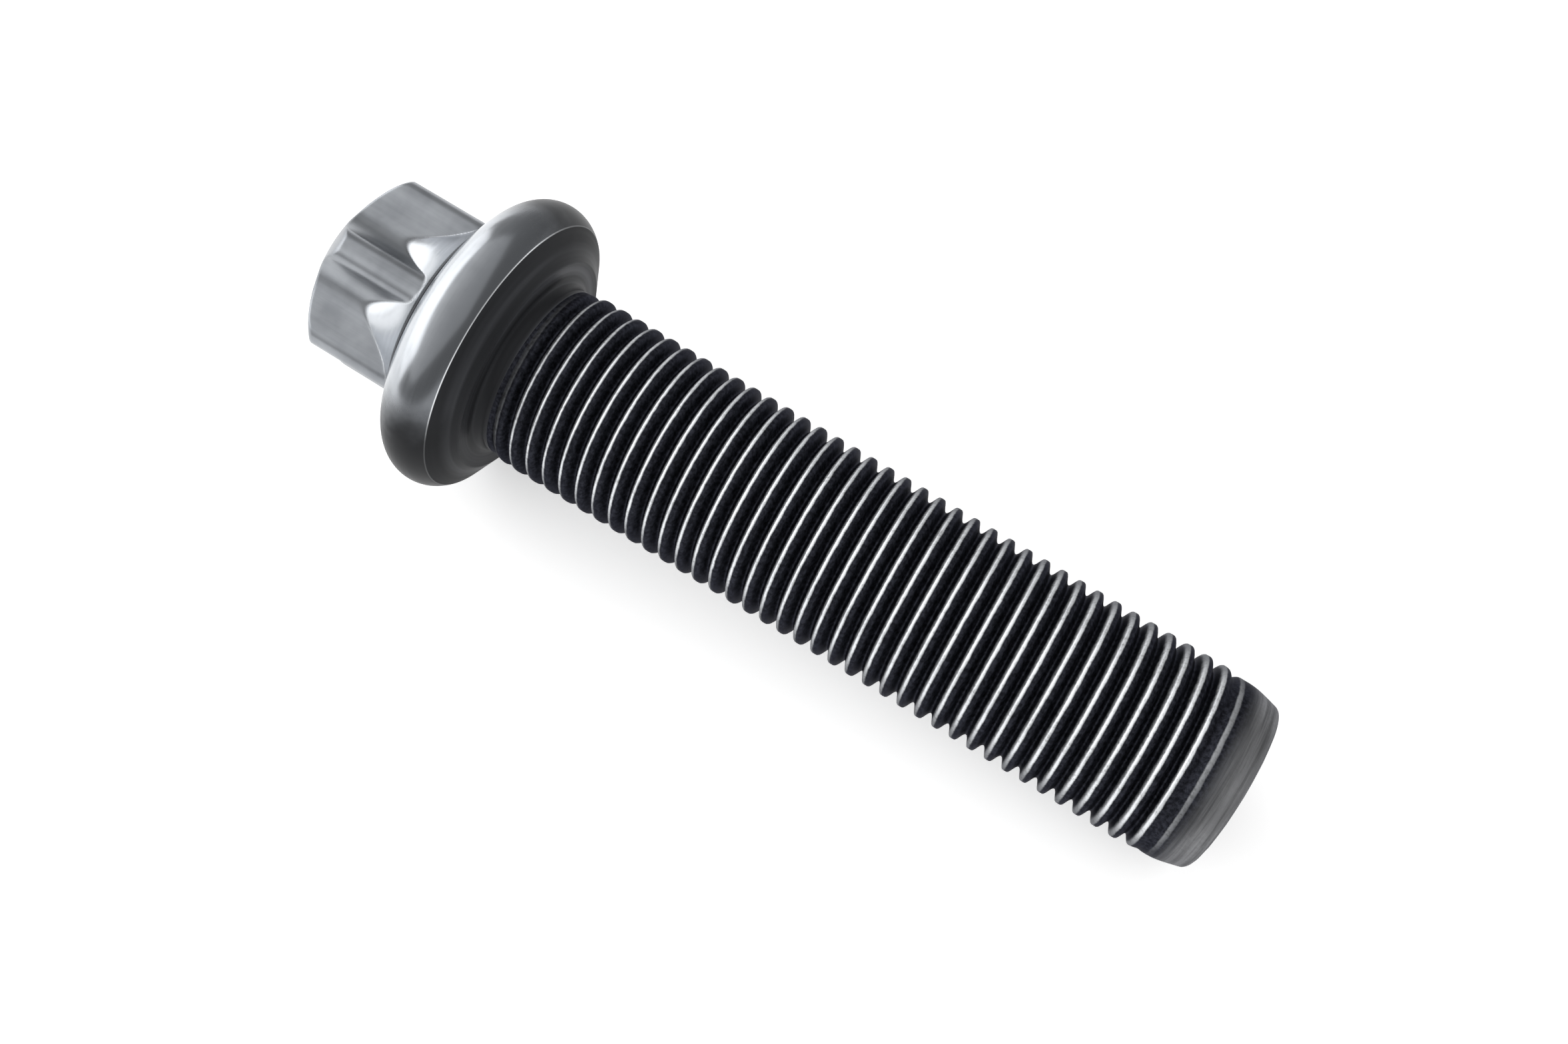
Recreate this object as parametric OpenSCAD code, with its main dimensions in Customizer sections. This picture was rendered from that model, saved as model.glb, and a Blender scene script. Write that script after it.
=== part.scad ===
// Flange bolt with an external six-lobe drive, lying on its flange rim and the edge of its point.
// Millimetres. The bolt is drawn along Z with its bearing face at zero and its point up, then laid down.

/* [Shank] */
// Major diameter of the thread, drawn as a plain cylinder
thread_d = 10; // [9:0.1:10.4]
// Length from the bearing face to the end of the point
shank_l = 41.2; // [25:0.2:60]
// Length of the tapered point
point_l = 2; // [0.8:0.1:2.4]
// Diameter of the flat end of the point
point_d = 8.5; // [7:0.1:8.8]
// Radius of the fillet between the bearing face and the shank
fillet_r = 0.4; // [0.2:0.05:0.5]

/* [Flange] */
// Outer diameter of the flange
flange_d = 16.55; // [15.4:0.05:20]
// Radius of the rounded rim
rim_r = 1.86; // [1.2:0.02:1.94]
// Distance of the widest ring of the rim behind the bearing face
rim_back = 2.25; // [2:0.05:2.3]
// Angle past the widest ring at which the rounding ends in an edge
rim_stop = 46; // [40:1:52]
// Outer diameter of the flat bearing face
bearing_d = 12.2; // [11.8:0.1:12.6]

/* [Head] */
// Height from the bearing face to the end of the head
head_h = 11; // [10.4:0.1:14]
// Height from the bearing face to the foot of the drive
foot_h = 4.45; // [4.3:0.05:5]
// Diameter of the drive's flared foot on the flange
foot_d = 12.1; // [11.8:0.1:12.4]
// Length of the flare that fills the foot of each flute
flare_l = 3.4; // [3:0.1:3.7]
// Radius of the flare's hollow curve
flare_r = 6.2; // [5:0.1:8]
// Width of the ring groove around the foot of the flare
groove_w = 0.28; // [0.16:0.02:0.4]
// Length of the chamfer around the end of the head
end_chamfer_l = 1.25; // [0.8:0.05:1.6]
// Distance of the flat end's edge inside the flutes
end_inset = 0.16; // [0.1:0.01:0.5]

/* [Drive] */
// Size across opposite lobes
lobe_d = 11.17; // [10.6:0.01:11.4]
// Size across opposite flutes
flute_d = 8.02; // [7.6:0.01:8.3]
// Radius of each lobe
lobe_r = 0.9; // [0.7:0.02:1]
// Turn of the drive about the axis as the bolt lies
drive_turn = 17; // [0:1:59]

/* [Hidden] */
$fn = 96;
// Overlap that joins the drive and the turned body into one solid
lap = 0.3;
// Depth by which curves that should just touch cross instead, so that no sliver is left between them
bite = 0.002;
// The drive has lobes at equal angles
lobes = 6;
pitch_angle = 360 / lobes;
// Radii of the shank, point, flange and head
shank_r = thread_d / 2;
point_r = point_d / 2;
bearing_r = bearing_d / 2;
rim_centre = flange_d / 2 - rim_r;
foot_r = foot_d / 2;
end_r = flute_d / 2 - end_inset;
chamfer_slope = (lobe_d / 2 - end_r) / end_chamfer_l;
point_start = shank_l - point_l;
// Section of the drive: the lobe centres, then the flute circles that meet both neighbouring lobes
lobe_centre = lobe_d / 2 - lobe_r;
flute_root = flute_d / 2;
half_angle = pitch_angle / 2;
flute_gap = flute_root - lobe_r + bite;
flute_centre = (flute_gap * flute_gap - lobe_centre * lobe_centre)
    / (2 * flute_gap - 2 * lobe_centre * cos(half_angle));
flute_r = flute_centre - flute_root;
// Corner of the core, just inside the point where a lobe meets the flute beside it
reach = [flute_centre * cos(half_angle) - lobe_centre, flute_centre * sin(half_angle)];
touch = [lobe_centre, 0] + (lobe_r - 5 * bite) * reach / norm(reach);
// Edge where the rounded rim meets the bevel under the flange
rim_edge = [rim_centre, -rim_back] + rim_r * [cos(rim_stop), sin(rim_stop)];
bevel_run = rim_edge - [bearing_r, 0];
bevel_in = [bearing_r, 0] - 0.2 * bevel_run;
bevel_out = rim_edge + 0.5 * bevel_run;
// Foot of the flare, where the upper side of the flange starts
foot = [foot_r, -foot_h];
// Point where the sloping upper side of the flange meets the rounded rim
over_run = [rim_centre - foot_r, foot_h - rim_back];
over_dist = norm(over_run);
over_r = rim_r - bite;
over_angle = atan2(over_run[1], over_run[0]) - asin(over_r / over_dist);
over_len = sqrt(over_dist * over_dist - over_r * over_r);
over_touch = foot + over_len * [cos(over_angle), sin(over_angle)];
// Hollow curve of the flare, from its foot on the flange up to the bottom of the flutes
flare_top = [flute_root, -foot_h - flare_l];
flare_chord = foot - flare_top;
flare_out = sqrt(flare_r * flare_r - norm(flare_chord) * norm(flare_chord) / 4) / norm(flare_chord);
flare_centre = (foot + flare_top) / 2 + flare_out * [flare_chord[1], -flare_chord[0]];
// Top of the flared body, hidden inside the drive
core_top_r = flute_root - lap;
core_top_z = flare_top[1] - 4 * lap;
// Lie of the bolt: a line under it touches the rim and the edge where the point starts
rest_run = point_start + rim_back;
rest_rise = rim_centre - shank_r;
rest_tilt = atan2(rest_rise, rest_run) + asin(rim_r / norm([rest_run, rest_rise]));
rest_lift = point_start * sin(rest_tilt) + shank_r * cos(rest_tilt);
// Ends of the lying bolt along X, used to centre it
front_x = shank_l * cos(rest_tilt) + point_r * sin(rest_tilt);
back_x = -head_h * cos(rest_tilt) - end_r * sin(rest_tilt);
rest_shift = -(front_x + back_x) / 2;

// Half section of all that is round about the axis: flare, flange, fillet, shank and point
module turned_section() {
    difference() {
        union() {
            polygon([
                [0, core_top_z],
                [core_top_r, core_top_z],
                foot,
                over_touch,
                [rim_centre, -rim_back],
                [rim_edge[0], 0],
                [shank_r + fillet_r, 0],
                [shank_r + fillet_r, fillet_r],
                [shank_r, fillet_r],
                [shank_r, point_start],
                [point_r, shank_l],
                [0, shank_l]
            ]);
            translate([rim_centre, -rim_back])
                circle(r = rim_r);
        }
        polygon([bevel_in, bevel_out, [bevel_out[0], bevel_in[1]]]);
        translate([shank_r + fillet_r, fillet_r])
            circle(r = fillet_r);
        translate(foot)
            circle(d = groove_w);
        intersection() {
            translate(flare_centre)
                circle(r = flare_r);
            translate([0, -head_h])
                square([foot_r + groove_w / 6, head_h]);
        }
    }
}

// Section of the six-lobe drive
module drive_section() {
    difference() {
        union() {
            polygon([for (i = [0 : lobes - 1], s = [-1, 1])
                let (a = i * pitch_angle)
                [touch[0] * cos(a) - s * touch[1] * sin(a), touch[0] * sin(a) + s * touch[1] * cos(a)]]);
            for (i = [0 : lobes - 1])
                rotate(i * pitch_angle)
                    translate([lobe_centre, 0])
                        circle(r = lobe_r);
        }
        for (i = [0 : lobes - 1])
            rotate((i + 0.5) * pitch_angle)
                translate([flute_centre, 0])
                    circle(r = flute_r);
    }
}

// Lobed drive, from its chamfered end down into the flange
module drive() {
    translate([0, 0, -head_h])
        intersection() {
            rotate(drive_turn)
                linear_extrude(height = head_h - foot_h + lap)
                    drive_section();
            cylinder(r1 = end_r, r2 = end_r + head_h * chamfer_slope, h = head_h);
        }
}

// The whole bolt, laid down on its flange rim and the edge of its point
module bolt() {
    color([0.55, 0.57, 0.6])
        translate([rest_shift, 0, rest_lift])
            rotate([0, 90 + rest_tilt, 0])
                union() {
                    rotate_extrude()
                        turned_section();
                    drive();
                }
}

bolt();
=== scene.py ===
# Looks and studio for a flange bolt with an external six-lobe drive.
# Metres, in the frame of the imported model: the bolt lies along X on its flange rim and the edge of its point.

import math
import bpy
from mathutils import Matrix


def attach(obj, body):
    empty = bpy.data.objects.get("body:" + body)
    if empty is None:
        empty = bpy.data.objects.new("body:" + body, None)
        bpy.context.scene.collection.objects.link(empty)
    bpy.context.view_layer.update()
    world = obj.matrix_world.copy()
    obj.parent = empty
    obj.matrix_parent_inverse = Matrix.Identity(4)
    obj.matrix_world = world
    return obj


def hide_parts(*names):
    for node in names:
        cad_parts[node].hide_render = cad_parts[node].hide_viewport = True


bl_info = {
    "name": "Flange Bolt",
    "version": (1, 0, 0),
    "blender": (4, 5, 0),
    "location": "View3D > Sidebar > Bolt",
    "description": "Forged head, rolled thread and a plain studio for a flange bolt",
    "category": "Object",
}

import bmesh
import bpy
from bpy.props import FloatProperty, FloatVectorProperty, IntProperty, PointerProperty
from mathutils import Matrix, Vector

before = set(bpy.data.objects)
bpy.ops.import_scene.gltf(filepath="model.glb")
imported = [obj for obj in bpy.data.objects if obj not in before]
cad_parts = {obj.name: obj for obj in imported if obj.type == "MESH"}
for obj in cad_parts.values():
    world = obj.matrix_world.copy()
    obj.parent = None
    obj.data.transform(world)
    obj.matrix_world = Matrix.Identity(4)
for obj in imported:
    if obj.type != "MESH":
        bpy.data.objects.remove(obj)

LOBES = 6
# Marks stored on the head's points; the crease mark says where shade is painted
MARKS = ("drive", "turned", "crease", "edge", "underside")

# Directions round the axis of the lying bolt, from straight down towards +Y
# Centre of the rim's dark patch of painted shade
RIM_SHADE_ANGLE = math.radians(285)
# Side that faces the camera, where the crests' painted highlight is brightest before it dims as painted shade
HIGHLIGHT_ANGLE = math.radians(201)

# Steps and parts along the half section of the head
END_PARTS = (0, 0.3, 0.6, 0.85, 0.95, 1)
ROUNDING_STEPS = 5
SIDE_STEPS = 66
GROOVE_STEPS = 9
CONE_STEPS = 9
RIM_STEPS = 30
# The last row of the rim and one close before it keep the bright line along its edge narrow
RIM_ROWS = (*range(1, RIM_STEPS), RIM_STEPS - 0.4, RIM_STEPS)
BEVEL_PARTS = (0.03, 0.1, 0.25, 0.4, 0.55, 0.7, 0.85, 0.96, 1)
BEARING_PARTS = (0.06, 0.3, 0.65, 1)
FILLET_STEPS = 6
# Rows above the ring groove that are as dark as the painted shade in it, and how dark the painted shade is
# along the flare's edge beside the lobes
CREASE_ROWS = 3
FLARE_CREASE = 0.6
# Height of the thread's start and the end of the neck inside it, in fillet radii
THREAD_START = 1.4
NECK_STUB = 1.6

# Thread profile, in pitches from the middle of the crest: the flank falls over this range, and a bow of this
# share of the fall, times the squared distance, rounds the crest and the root
FLANK = (0.13, 0.46)
BOW = 1.1
# Ranges in pitches over which the profile grows after the thread's start and ends before the point's
RUN_OUT = (0.05, 1.2)
RUN_IN = (-1.5, -0.1)
# Plain core that the profile ends in: over this range in pitches before the end of the point it gets thicker
# than the neck, by this share of the way to the crests
CORE_RANGE = (-4.0, 0.0)
CORE_SWELL = 0.6
# Length over which the thread blends into the tapered point, radius of the point's rounded end, and what the
# taper is wider for that rounding
POINT_BLEND = 0.0003
END_ROUNDING = 0.0003
POINT_SWELL = 0.0002
LID_ROWS = 4

THREAD_INPUTS = (
    ("Major Radius", "Float"), ("Neck Radius", "Float"), ("Depth", "Float"), ("Pitch", "Float"),
    ("Start", "Float"), ("End", "Float"), ("Point Start", "Float"), ("Point Radius", "Float"),
    ("Turn Steps", "Int"), ("Pitch Steps", "Int"), ("Rows", "Int"), ("Steel", "Material"),
)

# Noise patterns: scale in features per metre, detail and roughness
RING_MARKS = (3600, 4, 0.6)
AXIAL_MARKS = (2600, 4, 0.6)
PATCHES = (420, 3, 0.55)
GRAIN = (14000, 2, 0.6)
ARCS = (1500, 2, 0.5)
WOBBLE = (1500, 3, 0.6)
SPECKLE = (5200, 3, 0.65)
BRUSH_MARKS = (4600, 4, 0.6)
# Stretch of the streaks along the axis, and how much a ring's marks change on the way round
ALONG_AXIS = (1, 1, 0.05)
RING_DRIFT = 0.04
GRAIN_HEIGHT = 0.00003

# Painted shade in dark patches on the rim: where it starts and is full, in cosines from its direction, and its
# least and most cover
RIM_SHADE_NEAR = (0.70, 1.04, 0.0, 0.985)
RIM_SHADE_FAR = (0.66, 1.08, 0.0, 0.93)
RIM_SHADE_RAGGED = 0.3
# Radii between which the rim's painted shade fades in, and between which the pale arcs of the underside fade
# out
RIM_SHADE_RADII = (0.0062, 0.0072)
ARC_RADII = (0.0052, 0.0075)

# The rubbed line, bare steel that also stands in as a painted highlight, in pitches: its place on the head side
# of the crest, and half its width, bare and in all
RUB_HIGHLIGHT_PLACE = 0.16
RUB_HIGHLIGHT_WIDTH = (0.07, 0.165)
# Ranges in pitches over which it fades in from the thread's start and out around the point's start, and over
# which the brushed steel of the point takes over
RUB_HIGHLIGHT_FADE_IN = (0.0, 1.7)
RUB_HIGHLIGHT_FADE_OUT = (-1.1, 0.5)
BRUSHED = (0.0, 1.1)

# Soft boxes: name, width, height and place
SOFT_BOXES = (
    ("window", 0.70, 0.30, (-0.36, -0.03, 0.16)),
    ("overhead", 1.70, 1.70, (-0.12, -0.10, 0.60)),
)
LAMP_TARGET = (0.0, 0.0, 0.006)
FLOOR_REACH = 6.0


class BoltSizes(bpy.types.PropertyGroup):
    """Sizes of the bolt: those of its solid model, and its own for thread, neck, fillet and soft edges."""

    thread_diameter: FloatProperty(
        name="Thread diameter", description="Diameter over the crests of the thread",
        default=0.010, unit="LENGTH")
    thread_pitch: FloatProperty(
        name="Thread pitch", description="Distance from one turn of the thread to the next",
        default=0.001, unit="LENGTH")
    thread_depth: FloatProperty(
        name="Thread depth", description="Height of the crests over the roots",
        default=0.0005355, unit="LENGTH")
    neck_diameter: FloatProperty(
        name="Neck diameter", description="Diameter of the plain neck under the flange",
        default=0.0096, unit="LENGTH")
    shank_length: FloatProperty(
        name="Shank length", description="Length from the bearing face to the end of the point",
        default=0.0412, unit="LENGTH")
    point_length: FloatProperty(
        name="Point length", description="Length of the tapered point",
        default=0.002, unit="LENGTH")
    point_diameter: FloatProperty(
        name="Point diameter", description="Diameter of the flat end of the point",
        default=0.0085, unit="LENGTH")
    flange_diameter: FloatProperty(
        name="Flange diameter", description="Largest diameter of the flange",
        default=0.01655, unit="LENGTH")
    rim_radius: FloatProperty(
        name="Rim radius", description="Radius of the rounded rim of the flange",
        default=0.00186, unit="LENGTH")
    rim_back: FloatProperty(
        name="Rim setback", description="Distance of the widest ring of the rim behind the bearing face",
        default=0.00225, unit="LENGTH")
    rim_stop: FloatProperty(
        name="Rim end angle", description="Angle past the widest ring at which the rounding ends in an edge",
        default=math.radians(46), subtype="ANGLE")
    bearing_diameter: FloatProperty(
        name="Bearing diameter", description="Outer diameter of the flat bearing face",
        default=0.0122, unit="LENGTH")
    fillet_radius: FloatProperty(
        name="Fillet radius", description="Radius between the bearing face and the neck",
        default=0.0005, unit="LENGTH")
    head_height: FloatProperty(
        name="Head height", description="Height from the bearing face to the end of the head",
        default=0.011, unit="LENGTH")
    foot_height: FloatProperty(
        name="Foot height", description="Height from the bearing face to the foot of the drive",
        default=0.00445, unit="LENGTH")
    foot_diameter: FloatProperty(
        name="Foot diameter", description="Diameter of the drive's flared foot on the flange",
        default=0.0121, unit="LENGTH")
    flare_length: FloatProperty(
        name="Flare length", description="Length of the flare that fills the foot of each flute",
        default=0.0034, unit="LENGTH")
    flare_radius: FloatProperty(
        name="Flare radius", description="Radius of the flare's hollow curve",
        default=0.0062, unit="LENGTH")
    groove_width: FloatProperty(
        name="Groove width", description="Width of the ring groove around the foot of the flare",
        default=0.00028, unit="LENGTH")
    chamfer_length: FloatProperty(
        name="Chamfer length", description="Length of the chamfer around the end of the head",
        default=0.00125, unit="LENGTH")
    chamfer_bow: FloatProperty(
        name="Chamfer bow", description="How far the forged end chamfer bulges beyond a straight one",
        default=0.00016, unit="LENGTH")
    end_inset: FloatProperty(
        name="End inset", description="Distance of the flat end's edge inside the flutes",
        default=0.00016, unit="LENGTH")
    lobe_diameter: FloatProperty(
        name="Size across lobes", description="Size across opposite lobes of the drive",
        default=0.01117, unit="LENGTH")
    flute_diameter: FloatProperty(
        name="Size across flutes", description="Size across opposite flutes of the drive",
        default=0.00802, unit="LENGTH")
    lobe_radius: FloatProperty(
        name="Lobe radius", description="Radius of each lobe",
        default=0.0009, unit="LENGTH")
    drive_turn: FloatProperty(
        name="Drive turn", description="Turn of the drive about the axis as the bolt lies",
        default=math.radians(17), subtype="ANGLE")
    softness: FloatProperty(
        name="Edge softness", description="Width over which the forged edges are rounded",
        default=0.00016, unit="LENGTH")
    steps_round: IntProperty(
        name="Steps round the head", description="Number of faces around the head",
        default=504, min=96)
    thread_steps: IntProperty(
        name="Steps round the thread", description="Number of faces around one turn of the thread",
        default=84, min=24)
    pitch_steps: IntProperty(
        name="Steps per pitch", description="Number of faces along one pitch of the thread",
        default=16, min=8)


class BoltFinish(bpy.types.PropertyGroup):
    """Colours of the steel."""

    forged_light: FloatVectorProperty(
        name="Forged, light", description="Lighter tone of the forged drive and rim",
        default=(0.335, 0.350, 0.371), size=3, subtype="COLOR", min=0, max=1)
    forged_dark: FloatVectorProperty(
        name="Forged, dark", description="Darker tone of the forged drive and rim",
        default=(0.232, 0.244, 0.262), size=3, subtype="COLOR", min=0, max=1)
    turned: FloatVectorProperty(
        name="Turned", description="Bright steel of the flare and the upper side of the flange",
        default=(0.58, 0.603, 0.632), size=3, subtype="COLOR", min=0, max=1)
    # Painted shade under the flange; the rim's dark patches of painted shade are made from it too
    underside: FloatVectorProperty(
        name="Underside", description="Darkened steel under the flange",
        default=(0.030, 0.031, 0.034), size=3, subtype="COLOR", min=0, max=1)
    thread: FloatVectorProperty(
        name="Thread", description="Blackened flanks and roots of the thread",
        default=(0.023, 0.0242, 0.031), size=3, subtype="COLOR", min=0, max=1)
    # Bare steel of the rubbed line on each crest, which is also a painted highlight; the bright line along the
    # rim's edge has this colour too
    crest: FloatVectorProperty(
        name="Crest", description="Bare steel along the rubbed edge of each crest",
        default=(0.84, 0.86, 0.88), size=3, subtype="COLOR", min=0, max=1)
    # Painted shade in the creases at the foot of the flare, in the ring groove and where the flare meets the
    # lobes
    crease: FloatVectorProperty(
        name="Crease", description="Dark line at the foot of the flare and in the ring groove",
        default=(0.045, 0.047, 0.052), size=3, subtype="COLOR", min=0, max=1)
    point: FloatVectorProperty(
        name="Point", description="Brushed steel of the tapered point",
        default=(0.195, 0.197, 0.203), size=3, subtype="COLOR", min=0, max=1)


class BoltStudio(bpy.types.PropertyGroup):
    """Floor, lamps and camera."""

    floor_colour: FloatVectorProperty(
        name="Floor", description="Colour of the floor",
        default=(0.93, 0.93, 0.93), size=3, subtype="COLOR", min=0, max=1)
    room: FloatProperty(
        name="Room", description="Brightness of the room around the lamps", default=0.42, min=0)
    floor_glow: FloatProperty(
        name="Floor glow", description="White added to the floor where it is seen directly or reflected",
        default=0.42, min=0)
    window: FloatProperty(
        name="Window", description="Power of the soft box beside the head", default=1.05, unit="POWER")
    overhead: FloatProperty(
        name="Overhead", description="Power of the soft box above", default=5.2, unit="POWER")
    lens: FloatProperty(
        name="Lens", description="Focal length in millimetres on a 36 mm wide sensor", default=37.219)
    camera_place: FloatVectorProperty(
        name="Camera place", description="Where the camera stands",
        default=(0.01870338, -0.02927454, 0.08153147), size=3, subtype="TRANSLATION", unit="LENGTH")
    camera_turn: FloatVectorProperty(
        name="Camera turn", description="How the camera is turned from looking straight down",
        default=(math.radians(24.678089), 0, math.radians(31.842710)), size=3, subtype="EULER")


def lie(size):
    """Placement of the bolt: drawn along Z with its point up, then laid down on the floor."""
    shank_r = size.thread_diameter / 2
    rim_centre = size.flange_diameter / 2 - size.rim_radius
    point_start = size.shank_length - size.point_length
    run = point_start + size.rim_back
    rise = rim_centre - shank_r
    tilt = math.atan2(rise, run) + math.asin(size.rim_radius / math.hypot(run, rise))
    lift = point_start * math.sin(tilt) + shank_r * math.cos(tilt)
    end_r = size.flute_diameter / 2 - size.end_inset
    front = size.shank_length * math.cos(tilt) + size.point_diameter / 2 * math.sin(tilt)
    back = -size.head_height * math.cos(tilt) - end_r * math.sin(tilt)
    return Matrix.Translation((-(front + back) / 2, 0, lift)) @ Matrix.Rotation(math.pi / 2 + tilt, 4, "Y")


def soft_min(a, b, width):
    """Smaller of two values, rounded where they come within a width of each other."""
    near = max(width - abs(a - b), 0) / width
    return min(a, b) - near * near * width / 4


def soft_max(a, b, width):
    """Larger of two values, rounded in the same way."""
    return -soft_min(-a, -b, width)


def on_arc(centre, radius, turn):
    """Point on a circle of the half section."""
    return centre.x + radius * math.cos(turn), centre.y + radius * math.sin(turn)


def drive_radius(size, angle):
    """Radius of the six-lobe outline at an angle."""
    half = math.pi / LOBES
    lobe_centre = size.lobe_diameter / 2 - size.lobe_radius
    root = size.flute_diameter / 2
    gap = root - size.lobe_radius
    flute_centre = (gap ** 2 - lobe_centre ** 2) / (2 * gap - 2 * lobe_centre * math.cos(half))
    flute_radius = flute_centre - root
    reach = Vector((flute_centre * math.cos(half) - lobe_centre, flute_centre * math.sin(half)))
    touch = Vector((lobe_centre, 0)) + size.lobe_radius * reach.normalized()
    turn = abs((angle - size.drive_turn + half) % (2 * half) - half)
    if turn < math.atan2(touch.y, touch.x):
        return lobe_centre * math.cos(turn) + math.sqrt(
            max(size.lobe_radius ** 2 - (lobe_centre * math.sin(turn)) ** 2, 0))
    turn = half - turn
    return flute_centre * math.cos(turn) - math.sqrt(
        flute_radius ** 2 - (flute_centre * math.sin(turn)) ** 2)


def flare_curve(size):
    """Foot of the flare on the flange, the centre of its hollow curve, and the way that it rises."""
    foot = Vector((size.foot_diameter / 2, -size.foot_height))
    chord = foot - Vector((size.flute_diameter / 2, foot.y - size.flare_length))
    out = math.sqrt((size.flare_radius / chord.length) ** 2 - 0.25)
    hollow = foot - chord / 2 + out * Vector((chord.y, -chord.x))
    lean = Vector((hollow.y - foot.y, foot.x - hollow.x)) / size.flare_radius
    return foot, hollow, lean


def drive_path(size, angle):
    """Half section of the drive and its flare at an angle: (radius, height, marks) from the end inwards."""
    end = -size.head_height
    foot, hollow, lean = flare_curve(size)
    star = drive_radius(size, angle)
    end_r = size.flute_diameter / 2 - size.end_inset
    slope = (size.lobe_diameter / 2 - end_r) / size.chamfer_length
    soft = size.softness

    def side(z):
        """Radius of the drive at a height, and how far the flare stands out of the lobes and flutes there."""
        part = min((z - end) / size.chamfer_length, 1)
        chamfer = end_r + (z - end) * slope + size.chamfer_bow * 4 * part * (1 - part)
        outline = soft_min(star, chamfer, soft)
        flare = hollow.x - math.sqrt(size.flare_radius ** 2 - max(z - hollow.y, 0) ** 2)
        return soft_max(outline, flare, soft * 0.4), flare - outline

    flat = side(end)[0] - soft
    path = [(flat * part, end, {"drive": 1}) for part in END_PARTS]
    for step in range(1, ROUNDING_STEPS + 1):
        turn = math.pi / 2 * step / ROUNDING_STEPS
        z = end + soft * (1 - math.cos(turn))
        path.append((side(z)[0] - soft * (1 - math.sin(turn)), z, {"drive": 1}))
    first = end + soft
    last = foot.y + size.groove_width / 2 * lean.y
    for step in range(1, SIDE_STEPS + 1):
        z = first + (last - first) * step / SIDE_STEPS
        radius, proud = side(z)
        turned = min(max(0.5 + proud / soft, 0), 1)
        # Painted shade along the crease where the flare meets the lobes and flutes, and on the last rows above
        # the ring groove
        crease = FLARE_CREASE * max(1 - abs(proud) / soft * 2, 0)
        if step > SIDE_STEPS - CREASE_ROWS:
            crease = 1
        path.append((radius, z, {"drive": 1 - turned, "turned": turned, "crease": crease}))
    return path


def flange_path(size):
    """Half section of the flange: ring groove, sloping upper side, rounded rim and the bevel below it."""
    foot, _, lean = flare_curve(size)
    groove = size.groove_width / 2
    rim_centre = Vector((size.flange_diameter / 2 - size.rim_radius, -size.rim_back))
    run = rim_centre - foot
    over = math.atan2(run.y, run.x) - math.asin(size.rim_radius / run.length)
    first = math.atan2(lean.y, lean.x)
    path = []
    # The ring groove and the first row of the upper side carry painted shade
    for step in range(1, GROOVE_STEPS + 1):
        turn = first + (over - 2 * math.pi - first) * step / GROOVE_STEPS
        path.append((*on_arc(foot, groove, turn), {"turned": 1, "crease": 1}))
    length = math.sqrt(run.length ** 2 - size.rim_radius ** 2)
    for step in range(1, CONE_STEPS + 1):
        part = groove * 1.3 if step == 1 else groove + (length - groove) * step / CONE_STEPS
        path.append((*on_arc(foot, part, over), {"turned": 1, "crease": 1 if step == 1 else 0}))
    begin = over - math.pi / 2
    for step in RIM_ROWS:
        turn = begin + (size.rim_stop - begin) * step / RIM_STEPS
        path.append((*on_arc(rim_centre, size.rim_radius, turn),
                     {"turned": min(max(0.2 - turn, 0), 1), "edge": 1 if step == RIM_STEPS else 0}))
    edge = Vector(path[-1][:2])
    bearing = Vector((size.bearing_diameter / 2, 0))
    return path + [(*edge.lerp(bearing, part), {"underside": 1}) for part in BEVEL_PARTS]


def neck_path(size):
    """Half section of the bearing face, the fillet and the stub of the neck inside the thread."""
    bearing_r = size.bearing_diameter / 2
    neck_r = size.neck_diameter / 2
    fillet = size.fillet_radius
    path = [(bearing_r + (neck_r + fillet - bearing_r) * part, 0) for part in BEARING_PARTS]
    for step in range(1, FILLET_STEPS + 1):
        turn = math.pi / 2 * step / FILLET_STEPS
        path.append((neck_r + fillet * (1 - math.sin(turn)), fillet * (1 - math.cos(turn))))
    path += [(neck_r, fillet * 1.5), (neck_r * 0.97, fillet * NECK_STUB), (0, fillet * NECK_STUB)]
    return [(radius, height, {"underside": 1}) for radius, height in path]


def thread_start(size):
    """Height over the bearing face at which the thread starts."""
    return size.fillet_radius * THREAD_START


def close_and_orient(mesh):
    """Merge doubled points, drop flat faces and turn every face outwards."""
    work = bmesh.new()
    work.from_mesh(mesh)
    bmesh.ops.remove_doubles(work, verts=work.verts, dist=1e-7)
    bmesh.ops.dissolve_degenerate(work, edges=work.edges, dist=1e-8)
    bmesh.ops.recalc_face_normals(work, faces=work.faces)
    if work.calc_volume(signed=True) < 0:
        bmesh.ops.reverse_faces(work, faces=work.faces)
    for face in work.faces:
        face.smooth = True
    work.to_mesh(mesh)
    work.free()


def link_object(name, data):
    """Put a new object with this data in the scene."""
    thing = bpy.data.objects.new(name, data)
    bpy.context.scene.collection.objects.link(thing)
    return thing


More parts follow.
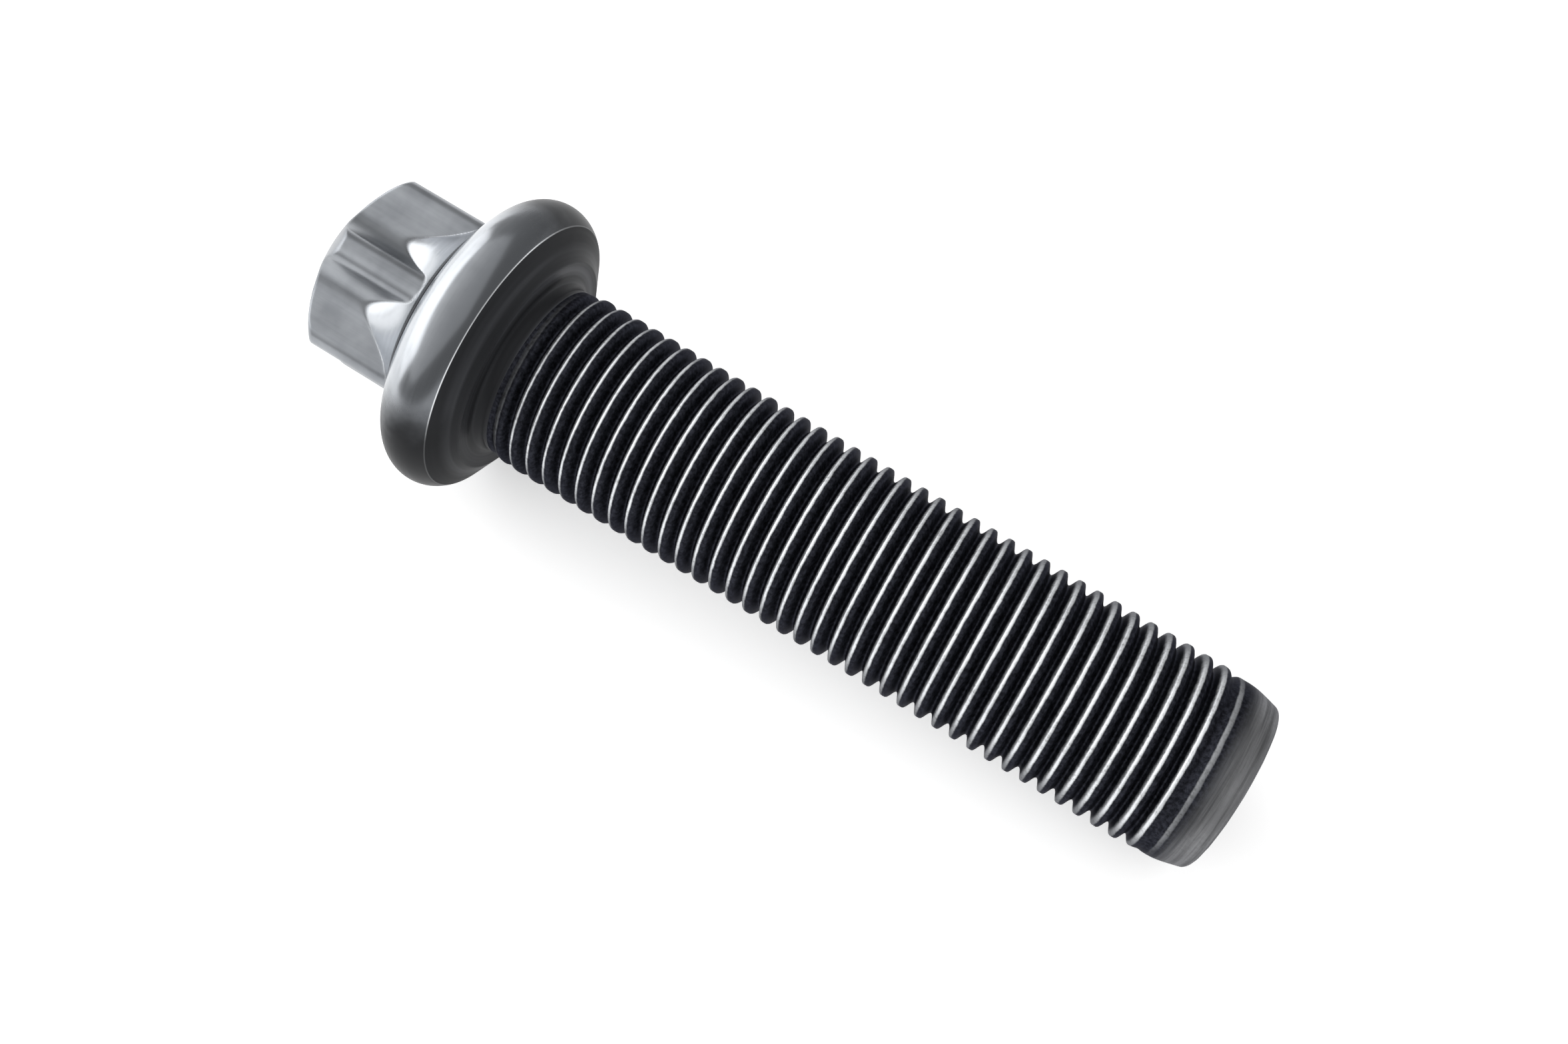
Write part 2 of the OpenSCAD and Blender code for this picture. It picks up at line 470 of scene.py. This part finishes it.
class NodeBench:
    """Short ways to add and join nodes in one tree."""

    def __init__(self, tree):
        self.tree = tree

    def put(self, kind, **settings):
        """Add a node."""
        node = self.tree.nodes.new(kind)
        for key, value in settings.items():
            setattr(node, key, value)
        return node

    def feed(self, socket, value):
        """Link an output to a socket, or set the socket to a plain value."""
        if isinstance(value, bpy.types.NodeSocket):
            self.tree.links.new(value, socket)
        else:
            socket.default_value = value

    def math(self, operation, a, b=0.0, c=0.0):
        """Result of a calculation with up to three values."""
        node = self.put("ShaderNodeMath", operation=operation)
        for socket, value in zip(node.inputs, (a, b, c)):
            self.feed(socket, value)
        return node.outputs[0]

    def add(self, a, b):
        return self.math("ADD", a, b)

    def subtract(self, a, b):
        return self.math("SUBTRACT", a, b)

    def multiply(self, a, b):
        return self.math("MULTIPLY", a, b)

    def divide(self, a, b):
        return self.math("DIVIDE", a, b)

    def larger(self, a, b):
        return self.math("MAXIMUM", a, b)

    def smaller(self, a, b):
        return self.math("MINIMUM", a, b)

    def split(self, vector):
        """The three parts of a vector."""
        node = self.put("ShaderNodeSeparateXYZ")
        self.feed(node.inputs[0], vector)
        return node.outputs

    def join(self, *parts):
        """Vector made of its parts."""
        node = self.put("ShaderNodeCombineXYZ")
        for socket, value in zip(node.inputs, parts):
            self.feed(socket, value)
        return node.outputs[0]

    def ramp(self, value, low, high, out_low=0.0, out_high=1.0):
        """Smooth step of value from low to high."""
        node = self.put("ShaderNodeMapRange", interpolation_type="SMOOTHSTEP")
        for socket, entry in zip(node.inputs, (value, low, high, out_low, out_high)):
            self.feed(socket, entry)
        return node.outputs[0]

    def noise(self, vector, scale, detail, roughness):
        """Noise from 0 to 1 at a place."""
        node = self.put("ShaderNodeTexNoise")
        self.feed(node.inputs["Vector"], vector)
        self.feed(node.inputs["Scale"], scale)
        self.feed(node.inputs["Detail"], detail)
        self.feed(node.inputs["Roughness"], roughness)
        return node.outputs[0]

    def blend(self, factor, a, b):
        """Blend of two numbers."""
        node = self.put("ShaderNodeMix", data_type="FLOAT")
        for socket, value in zip((node.inputs[0], node.inputs[2], node.inputs[3]), (factor, a, b)):
            self.feed(socket, value)
        return node.outputs[0]

    def mix(self, factor, a, b):
        """Blend of two colours."""
        node = self.put("ShaderNodeMix", data_type="RGBA")
        self.feed(node.inputs[0], factor)
        for socket, value in zip((node.inputs[6], node.inputs[7]), (a, b)):
            self.feed(socket, value if isinstance(value, bpy.types.NodeSocket) else (*value, 1))
        return node.outputs[2]

    def stretched(self, vector, scale):
        """Vector scaled along each axis."""
        node = self.put("ShaderNodeMapping")
        self.feed(node.inputs["Vector"], vector)
        node.inputs["Scale"].default_value = scale
        return node.outputs[0]

    def attribute(self, name):
        """Mark stored on the points of the mesh."""
        node = self.put("ShaderNodeAttribute", attribute_type="GEOMETRY", attribute_name=name)
        return node.outputs["Fac"]

    def rings(self, place):
        """Coordinates that make a noise run in rings round the axis, and the distance from the axis."""
        x, y, z = self.split(place)
        squares = self.add(self.math("POWER", x, 2.0), self.math("POWER", y, 2.0))
        radius = self.math("SQRT", squares)
        drifted = self.add(radius, self.multiply(x, RING_DRIFT))
        return self.join(drifted, self.multiply(y, RING_DRIFT), z), radius

    def along_bolt(self, size):
        """Place on the bolt, with Z along its axis."""
        back = lie(size).inverted()
        node = self.put("ShaderNodeMapping")
        self.tree.links.new(self.put("ShaderNodeTexCoord").outputs["Object"], node.inputs["Vector"])
        node.inputs["Location"].default_value = back.to_translation()
        node.inputs["Rotation"].default_value = back.to_euler()
        return node.outputs[0]


def steel(name):
    """New metal material, its bench and its shader."""
    material = bpy.data.materials.new(name)
    material.use_nodes = True
    bench = NodeBench(material.node_tree)
    shader = material.node_tree.nodes["Principled BSDF"]
    shader.inputs["Metallic"].default_value = 1.0
    return material, bench, shader


def raise_grain(bench, shader, height, strength):
    """Fine bumps in the steel."""
    bump = bench.put("ShaderNodeBump")
    bump.inputs["Strength"].default_value = strength
    bump.inputs["Distance"].default_value = GRAIN_HEIGHT
    bench.feed(bump.inputs["Height"], height)
    bench.feed(shader.inputs["Normal"], bump.outputs[0])


def shade(colour, factor):
    """Colour made darker or lighter."""
    return tuple(factor * part for part in colour)


def painted_rim_shade(bench, place, radius, patches):
    """Dark patches of painted shade on the rim: a full patch towards one side and a weaker one opposite."""
    x, y, _ = bench.split(place)
    along = bench.multiply(x, math.cos(RIM_SHADE_ANGLE))
    across = bench.multiply(y, math.sin(RIM_SHADE_ANGLE))
    toward = bench.divide(bench.add(along, across), radius)
    ragged = bench.multiply(patches, RIM_SHADE_RAGGED)
    near = bench.ramp(bench.add(ragged, toward), *RIM_SHADE_NEAR)
    far = bench.ramp(bench.subtract(ragged, toward), *RIM_SHADE_FAR)
    return bench.multiply(bench.larger(near, far), bench.ramp(radius, *RIM_SHADE_RADII))


def head_steel(size, finish):
    """Satin forged steel with streaks and fine rings, painted shade in dark patches at the rim's two ends and
    under the flange.
    """
    material, bench, shader = steel("satin forged steel")
    place = bench.along_bolt(size)
    rings, radius = bench.rings(place)
    drive, turned, crease, edge, underside = (bench.attribute(mark) for mark in MARKS)
    ring_marks = bench.noise(rings, *RING_MARKS)
    axial_marks = bench.noise(bench.stretched(place, ALONG_AXIS), *AXIAL_MARKS)
    streaks = bench.blend(drive, ring_marks, axial_marks)
    patches = bench.noise(place, *PATCHES)

    # Forged drive and rim, bright turned side, and painted shade that darkens the rim towards its underside
    tone = bench.add(bench.multiply(patches, 0.75), bench.multiply(streaks, 0.35))
    tone = bench.ramp(tone, 0.36, 0.74)
    forged = bench.mix(tone, finish.forged_dark, finish.forged_light)
    bright = bench.mix(tone, shade(finish.turned, 0.88), finish.turned)
    base = bench.mix(turned, forged, bright)
    height = bench.split(place)[2]
    lower_rim_shade = bench.ramp(height, -size.rim_back - 0.4 * size.rim_radius,
                           -size.rim_back + 0.6 * size.rim_radius)
    base = bench.mix(lower_rim_shade, base, shade(finish.forged_dark, 0.75))

    # Underside in painted shade, with pale arcs near the shank
    arcs = bench.ramp(bench.noise(rings, *ARCS), 0.42, 0.72)
    arcs = bench.multiply(arcs, bench.ramp(radius, *ARC_RADII, 1.0, 0.15))
    below = bench.mix(arcs, shade(finish.underside, 0.85), shade(finish.underside, 3.2))
    base = bench.mix(underside, base, below)

    # Painted shade in dark patches on the rim and in the creases, and a bright line along the rim's edge
    rim_shade = painted_rim_shade(bench, place, radius, patches)
    base = bench.mix(rim_shade, base, shade(finish.underside, 0.7))
    base = bench.mix(crease, base, finish.crease)
    bright_edge = bench.multiply(edge, bench.math("MULTIPLY_ADD", rim_shade, -0.9, 1.0))
    base = bench.mix(bright_edge, base, finish.crest)
    bench.feed(shader.inputs["Base Color"], base)

    rough = bench.ramp(streaks, 0.25, 0.75, 0.19, 0.25)
    rough = bench.add(rough, bench.multiply(underside, 0.18))
    rough = bench.add(rough, bench.multiply(bench.larger(drive, rim_shade), 0.12))
    bench.feed(shader.inputs["Roughness"], rough)
    dulled = bench.larger(bench.multiply(underside, 0.8), rim_shade)
    bench.feed(shader.inputs["Metallic"], bench.subtract(1.0, dulled))
    shader.inputs["Specular IOR Level"].default_value = 0.05
    grain = bench.multiply(bench.noise(place, *GRAIN), 0.12)
    raise_grain(bench, shader, bench.add(bench.multiply(streaks, 0.8), grain), 0.05)
    return material


def rubbed_highlight_line(bench, wound, place):
    """The rubbed line of bare steel and painted highlight along the head side of the crest, with a slight
    wobble.
    """
    wobble = bench.multiply(bench.subtract(bench.noise(place, *WOBBLE), 0.5), 0.10)
    phase = bench.math("FRACT", bench.add(bench.add(wound, wobble), 0.5))
    phase = bench.subtract(phase, 0.5)
    from_line = bench.math("ABSOLUTE", bench.add(phase, RUB_HIGHLIGHT_PLACE))
    return bench.ramp(from_line, *RUB_HIGHLIGHT_WIDTH, 1.0, 0.0)


def thread_steel(size, finish):
    """Blackened steel with a rubbed bright line of painted highlight on the head side of every crest, and a
    brushed point.
    """
    material, bench, shader = steel("blackened thread steel")
    place = bench.along_bolt(size)
    speckle = bench.noise(place, *SPECKLE)
    around, wound, _ = bench.split(bench.put("ShaderNodeUVMap", uv_map="UVMap").outputs[0])
    height = bench.add(around, wound)
    point_start = size.shank_length - size.point_length - thread_start(size)
    past_point = bench.subtract(height, point_start / size.thread_pitch)

    # The line fades at both ends; it is brightest on the side that faces the camera and on the opposite side,
    # and dims between them as painted shade
    rubbed_highlight = rubbed_highlight_line(bench, wound, place)
    rubbed_highlight = bench.multiply(rubbed_highlight, bench.ramp(height, *RUB_HIGHLIGHT_FADE_IN))
    rubbed_highlight = bench.multiply(rubbed_highlight, bench.ramp(past_point, *RUB_HIGHLIGHT_FADE_OUT, 1.0, 0.0))
    rubbed_highlight = bench.multiply(rubbed_highlight, bench.ramp(speckle, 0.22, 0.55, 0.55, 1.0))
    sides = bench.math("COSINE", bench.math("MULTIPLY_ADD", around, 4 * math.pi, -2 * HIGHLIGHT_ANGLE))
    rubbed_highlight = bench.multiply(rubbed_highlight, bench.ramp(sides, -1.0, 0.1, 0.25, 1.0))

    black = bench.ramp(speckle, 0.35, 0.70)
    black = bench.mix(black, shade(finish.thread, 0.6), shade(finish.thread, 1.9))
    base = bench.mix(rubbed_highlight, black, finish.crest)
    rings, _ = bench.rings(place)
    brushed = bench.ramp(bench.noise(rings, *BRUSH_MARKS), 0.3, 0.7)
    brushed = bench.mix(brushed, shade(finish.point, 0.65), shade(finish.point, 1.35))
    base = bench.mix(bench.ramp(past_point, *BRUSHED), base, brushed)
    bench.feed(shader.inputs["Base Color"], base)
    shader.inputs["Specular Tint"].default_value = (0.5, 0.5, 0.52, 1)
    matt = bench.ramp(speckle, 0.2, 0.8, 0.46, 0.62)
    bench.feed(shader.inputs["Roughness"], bench.subtract(matt, bench.multiply(rubbed_highlight, 0.12)))
    raise_grain(bench, shader, speckle, 0.25)
    return material


class BOLT_OT_head(bpy.types.Operator):
    """Make the forged head with its six-lobe drive, flange and neck"""

    bl_idname = "bolt.head"
    bl_label = "Head"

    def execute(self, context):
        size = context.scene.bolt_sizes
        angles = [2 * math.pi * step / size.steps_round for step in range(size.steps_round)]
        below_drive = flange_path(size) + neck_path(size)
        columns = [drive_path(size, angle) + below_drive for angle in angles]
        count = len(columns[0])
        points = [(radius * math.cos(angle), radius * math.sin(angle), height)
                  for angle, column in zip(angles, columns) for radius, height, _ in column]
        faces = []
        for step in range(size.steps_round):
            here = step * count
            there = (step + 1) % size.steps_round * count
            faces += [(here + k, there + k, there + k + 1, here + k + 1) for k in range(count - 1)]
        mesh = bpy.data.meshes.new("bolt_head")
        mesh.from_pydata(points, [], faces)
        for mark in MARKS:
            layer = mesh.attributes.new(mark, "FLOAT", "POINT")
            values = [float(marks.get(mark, 0)) for column in columns for _, _, marks in column]
            layer.data.foreach_set("value", values)
        close_and_orient(mesh)
        mesh.transform(lie(size))
        mesh.materials.append(head_steel(size, context.scene.bolt_finish))
        piece = link_object("bolt_head", mesh)
        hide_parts("bolt")
        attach(piece, "root")
        return {"FINISHED"}


def thread_radius(bench, given, height, wound):
    """Distance from the axis at a height and a number of turns wound: profile, run-out and tapered point."""
    names = ("Major Radius", "Neck Radius", "Depth", "Pitch", "Start", "End", "Point Start", "Point Radius")
    major, neck, depth, pitch, start, end, point_start, point_r = (given[name] for name in names)

    def faded(place, pitches, *ends):
        """Ramp over a range that is given in pitches past a place."""
        low, high = (bench.math("MULTIPLY_ADD", pitch, count, place) for count in pitches)
        return bench.ramp(height, low, high, *ends)

    phase = bench.subtract(bench.math("FRACT", bench.add(wound, 0.5)), 0.5)
    phase = bench.math("ABSOLUTE", phase)
    flank = bench.divide(depth, 1 + BOW / 4)
    fall = bench.multiply(bench.ramp(phase, *FLANK), flank)
    bow = bench.multiply(bench.math("POWER", phase, 2.0), bench.multiply(flank, BOW))
    cut = bench.subtract(bench.subtract(major, fall), bow)

    # Plain core that the profile runs out to
    swell = bench.multiply(bench.subtract(major, neck), CORE_SWELL)
    core = bench.math("MULTIPLY_ADD", faded(end, CORE_RANGE), swell, neck)
    cover = bench.multiply(faded(start, RUN_OUT), faded(point_start, RUN_IN, 1.0, 0.0))
    radius = bench.math("MULTIPLY_ADD", cover, bench.subtract(cut, core), core)

    # Tapered point with a rounded end
    taper = bench.divide(bench.subtract(height, point_start), bench.subtract(end, point_start))
    cone = bench.subtract(major, bench.multiply(taper, bench.subtract(major, point_r)))
    radius = bench.math("SMOOTH_MIN", radius, cone, POINT_BLEND)
    part = bench.larger(bench.subtract(height, bench.subtract(end, END_ROUNDING)), 0.0)
    part = bench.smaller(bench.divide(part, END_ROUNDING), 1.0)
    arc = bench.larger(bench.subtract(1.0, bench.math("POWER", part, 2.0)), 0.0)
    inset = bench.multiply(bench.subtract(1.0, bench.math("SQRT", arc)), END_ROUNDING)
    return bench.subtract(radius, inset)


def thread_tree():
    """Tree that winds a thread: a sheet whose rows climb one pitch per turn, wrapped round the axis."""
    tree = bpy.data.node_groups.new("wound thread", "GeometryNodeTree")
    for name, kind in THREAD_INPUTS:
        tree.interface.new_socket(name, in_out="INPUT", socket_type="NodeSocket" + kind)
    tree.interface.new_socket("Thread", in_out="OUTPUT", socket_type="NodeSocketGeometry")
    bench = NodeBench(tree)
    given = bench.put("NodeGroupInput").outputs
    start, end, pitch, rows = (given[name] for name in ("Start", "End", "Pitch", "Rows"))

    # Sheet of one turn across and all rows along, with one row more before the first and a few after the last
    sheet = bench.put("GeometryNodeMeshGrid")
    sheet.inputs["Size X"].default_value = 1.0
    sheet.inputs["Size Y"].default_value = 1.0
    bench.feed(sheet.inputs["Vertices X"], bench.add(given["Turn Steps"], 1.0))
    bench.feed(sheet.inputs["Vertices Y"], bench.add(rows, 1.0 + LID_ROWS))
    across, along, _ = bench.split(bench.put("GeometryNodeInputPosition").outputs[0])
    around = bench.add(across, 0.5)
    row = bench.multiply(bench.add(along, 0.5), bench.add(rows, float(LID_ROWS)))
    row = bench.subtract(bench.math("ROUND", row), 1.0)
    turns = bench.subtract(bench.divide(bench.larger(row, 0.0), given["Pitch Steps"]), 1.0)
    climb = bench.math("MULTIPLY_ADD", bench.add(turns, around), pitch, start)
    height = bench.smaller(bench.larger(climb, start), end)
    wound = bench.subtract(bench.divide(bench.subtract(height, start), pitch), around)

    # The added rows draw in to the axis and close both ends
    past = bench.larger(bench.subtract(row, bench.subtract(rows, 1.0)), 0.0)
    lid = bench.subtract(1.0, bench.divide(past, float(LID_ROWS)))
    lid = bench.multiply(lid, bench.smaller(bench.add(row, 1.0), 1.0))
    radius = thread_radius(bench, given, height, wound)
    radius = bench.multiply(radius, bench.larger(lid, 0.0))

    chart = bench.put("GeometryNodeStoreNamedAttribute", data_type="FLOAT2", domain="CORNER")
    bench.feed(chart.inputs["Geometry"], sheet.outputs[0])
    chart.inputs["Name"].default_value = "UVMap"
    bench.feed(chart.inputs["Value"], bench.join(around, wound))
    angle = bench.multiply(around, 2 * math.pi)
    x = bench.multiply(radius, bench.math("COSINE", angle))
    y = bench.multiply(radius, bench.math("SINE", angle))
    move = bench.put("GeometryNodeSetPosition")
    bench.feed(move.inputs["Geometry"], chart.outputs[0])
    bench.feed(move.inputs["Position"], bench.join(x, y, height))
    weld = bench.put("GeometryNodeMergeByDistance")
    bench.feed(weld.inputs["Geometry"], move.outputs[0])
    weld.inputs["Distance"].default_value = 1e-6
    real = bench.put("GeometryNodeRealizeInstances")
    bench.feed(real.inputs[0], weld.outputs[0])
    dress = bench.put("GeometryNodeSetMaterial")
    bench.feed(dress.inputs["Geometry"], real.outputs[0])
    bench.feed(dress.inputs["Material"], given["Steel"])
    bench.feed(bench.put("NodeGroupOutput").inputs[0], dress.outputs[0])
    return tree


class BOLT_OT_thread(bpy.types.Operator):
    """Wind the rolled thread, from its run-out under the flange to the chamfered point"""

    bl_idname = "bolt.thread"
    bl_label = "Thread"

    def execute(self, context):
        size = context.scene.bolt_sizes
        start = thread_start(size)
        turns = (size.shank_length - start) / size.thread_pitch + 1
        tree = thread_tree()
        blank = link_object("thread_blank", bpy.data.meshes.new("thread_blank"))
        modifier = blank.modifiers.new("Thread", "NODES")
        modifier.node_group = tree
        values = {
            "Major Radius": size.thread_diameter / 2,
            "Neck Radius": size.neck_diameter / 2,
            "Depth": size.thread_depth,
            "Pitch": size.thread_pitch,
            "Start": start,
            "End": size.shank_length,
            "Point Start": size.shank_length - size.point_length,
            "Point Radius": size.point_diameter / 2 + POINT_SWELL,
            "Turn Steps": size.thread_steps,
            "Pitch Steps": size.pitch_steps,
            "Rows": math.ceil(turns * size.pitch_steps) + 1,
            "Steel": thread_steel(size, context.scene.bolt_finish),
        }
        for entry in tree.interface.items_tree:
            if entry.in_out == "INPUT":
                modifier[entry.identifier] = values[entry.name]
        seen = blank.evaluated_get(context.evaluated_depsgraph_get())
        mesh = bpy.data.meshes.new_from_object(seen)
        blank.modifiers.remove(modifier)
        bpy.data.objects.remove(blank)
        mesh.name = "bolt_thread"
        close_and_orient(mesh)
        mesh.transform(lie(size))
        piece = link_object("bolt_thread", mesh)
        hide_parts("bolt")
        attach(piece, "root")
        return {"FINISHED"}


def lay_floor(studio):
    """Pale floor that looks white where it is seen directly or in a reflection."""
    corners = [(x * FLOOR_REACH, y * FLOOR_REACH, 0) for x, y in ((-1, -1), (1, -1), (1, 1), (-1, 1))]
    mesh = bpy.data.meshes.new("floor")
    mesh.from_pydata(corners, [], [(0, 1, 2, 3)])
    material = bpy.data.materials.new("pale floor")
    material.use_nodes = True
    shader = material.node_tree.nodes["Principled BSDF"]
    shader.inputs["Base Color"].default_value = (*studio.floor_colour, 1)
    shader.inputs["Roughness"].default_value = 0.9
    shader.inputs["Specular IOR Level"].default_value = 0.1
    shader.inputs["Emission Color"].default_value = (1, 1, 1, 1)
    bench = NodeBench(material.node_tree)
    rays = bench.put("ShaderNodeLightPath").outputs
    seen = bench.add(bench.add(rays["Is Camera Ray"], rays["Is Glossy Ray"]), rays["Is Transmission Ray"])
    bench.feed(shader.inputs["Emission Strength"], bench.multiply(seen, studio.floor_glow))
    mesh.materials.append(material)
    return link_object("floor", mesh)


def fill_room(scene, studio):
    """Room that lights the bolt evenly and is white where the camera sees it."""
    world = bpy.data.worlds.new("room")
    world.use_nodes = True
    bench = NodeBench(world.node_tree)
    sky = world.node_tree.nodes["Background"]
    sky.inputs["Color"].default_value = (1, 1, 1, 1)
    direct = bench.put("ShaderNodeLightPath").outputs["Is Camera Ray"]
    strength = bench.math("MULTIPLY_ADD", direct, 1 - studio.room, studio.room)
    bench.feed(sky.inputs["Strength"], strength)
    scene.world = world


def hang_soft_box(name, power, width, height, place):
    """Rectangular lamp that faces the bolt."""
    lamp = bpy.data.lights.new(name, "AREA")
    lamp.shape = "RECTANGLE"
    lamp.size = width
    lamp.size_y = height
    lamp.energy = power
    holder = link_object(name, lamp)
    holder.location = place
    facing = Vector(LAMP_TARGET) - Vector(place)
    holder.rotation_euler = facing.to_track_quat("-Z", "Y").to_euler()


def set_camera(scene, studio):
    """Camera in the place of the one that took the photo."""
    camera = bpy.data.cameras.new("camera")
    camera.sensor_width = 36.0
    camera.lens = studio.lens
    camera.clip_start = 0.001
    camera.clip_end = 20.0
    holder = link_object("camera", camera)
    holder.location = studio.camera_place
    holder.rotation_euler = studio.camera_turn
    scene.camera = holder


class BOLT_OT_studio(bpy.types.Operator):
    """Lay the pale floor and set the soft boxes, the room and the camera"""

    bl_idname = "bolt.studio"
    bl_label = "Studio"

    def execute(self, context):
        scene = context.scene
        studio = scene.bolt_studio
        scene.view_settings.view_transform = "Standard"
        floor = lay_floor(studio)
        fill_room(scene, studio)
        for name, width, height, place in SOFT_BOXES:
            hang_soft_box(name, getattr(studio, name), width, height, place)
        set_camera(scene, studio)
        return {"FINISHED"}


class BOLT_PT_sidebar(bpy.types.Panel):
    """Operators and sizes of the bolt"""

    bl_label = "Flange Bolt"
    bl_idname = "BOLT_PT_sidebar"
    bl_space_type = "VIEW_3D"
    bl_region_type = "UI"
    bl_category = "Bolt"

    def draw(self, context):
        column = self.layout.column()
        for operator in OPERATORS:
            column.operator(operator.bl_idname)
        for group in (context.scene.bolt_sizes, context.scene.bolt_finish, context.scene.bolt_studio):
            for name in group.__annotations__:
                column.prop(group, name)


OPERATORS = (BOLT_OT_head, BOLT_OT_thread, BOLT_OT_studio)
GROUPS = (("bolt_sizes", BoltSizes), ("bolt_finish", BoltFinish), ("bolt_studio", BoltStudio))


def register():
    for name, group in GROUPS:
        bpy.utils.register_class(group)
        setattr(bpy.types.Scene, name, PointerProperty(type=group))
    for part in OPERATORS + (BOLT_PT_sidebar,):
        bpy.utils.register_class(part)


def unregister():
    for part in reversed(OPERATORS + (BOLT_PT_sidebar,)):
        bpy.utils.unregister_class(part)
    for name, group in reversed(GROUPS):
        delattr(bpy.types.Scene, name)
        bpy.utils.unregister_class(group)


def main():
    register()
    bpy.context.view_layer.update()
    bpy.ops.bolt.head()
    bpy.ops.bolt.thread()
    bpy.ops.bolt.studio()


if __name__ == "__main__":
    main()
